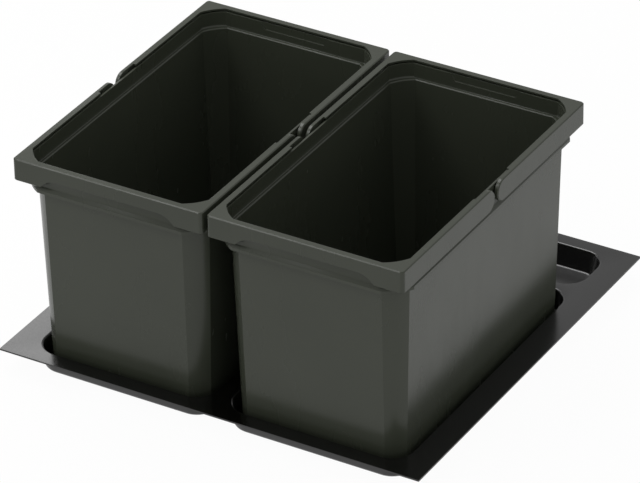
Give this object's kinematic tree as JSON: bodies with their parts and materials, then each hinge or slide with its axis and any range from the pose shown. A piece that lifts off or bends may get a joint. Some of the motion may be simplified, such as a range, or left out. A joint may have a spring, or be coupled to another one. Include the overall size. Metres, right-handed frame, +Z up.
{
  "type": "pull-out waste bin insert",
  "caption": "Drawer insert: a thin formed tray whose pockets hold tapered rectangular waste bins, each with hinged bail handles that fold down to form its rim.",
  "frame": {"origin": "centre of the underside of the object's box, on the surface that the pockets rest on", "axes": "+X to the right across both bins, +Y to the back of the drawer, +Z up"},
  "size_m": [0.489, 0.472, 0.2504],
  "materials": {
    "tray_plastic": "fine-grained near-black sheet",
    "bin_plastic": "dark olive-grey moulding with a soft sheen"
  },
  "bodies": {
    "tray": {"tray": "tray_plastic"},
    "left_bin": {"left_bin": "bin_plastic"},
    "right_bin": {"right_bin": "bin_plastic"},
    "left_front_handle": {"left_front_handle": "bin_plastic"},
    "left_rear_handle": {"left_rear_handle": "bin_plastic"},
    "right_front_handle": {"right_front_handle": "bin_plastic"},
    "right_rear_handle": {"right_rear_handle": "bin_plastic"}
  },
  "joints": [
    {"name": "left_bin_lift", "type": "slide", "parent": "tray", "child": "left_bin", "axis": [0, 0, 1], "range_m": [0, 0.3]},
    {"name": "right_bin_lift", "type": "slide", "parent": "tray", "child": "right_bin", "axis": [0, 0, 1], "range_m": [0, 0.3]},
    {"name": "left_front_handle_hinge", "type": "hinge", "parent": "left_bin", "child": "left_front_handle", "pos_m": [-0.11275, -0.055, 0.238], "axis": [-1, 0, 0], "range_deg": [0, 90]},
    {"name": "left_rear_handle_hinge", "type": "hinge", "parent": "left_bin", "child": "left_rear_handle", "pos_m": [-0.11275, -0.0242, 0.238], "axis": [1, 0, 0], "range_deg": [0, 90]},
    {"name": "right_front_handle_hinge", "type": "hinge", "parent": "right_bin", "child": "right_front_handle", "pos_m": [0.11275, -0.055, 0.238], "axis": [-1, 0, 0], "range_deg": [0, 90]},
    {"name": "right_rear_handle_hinge", "type": "hinge", "parent": "right_bin", "child": "right_rear_handle", "pos_m": [0.11275, -0.0242, 0.238], "axis": [1, 0, 0], "range_deg": [0, 90]}
  ]
}
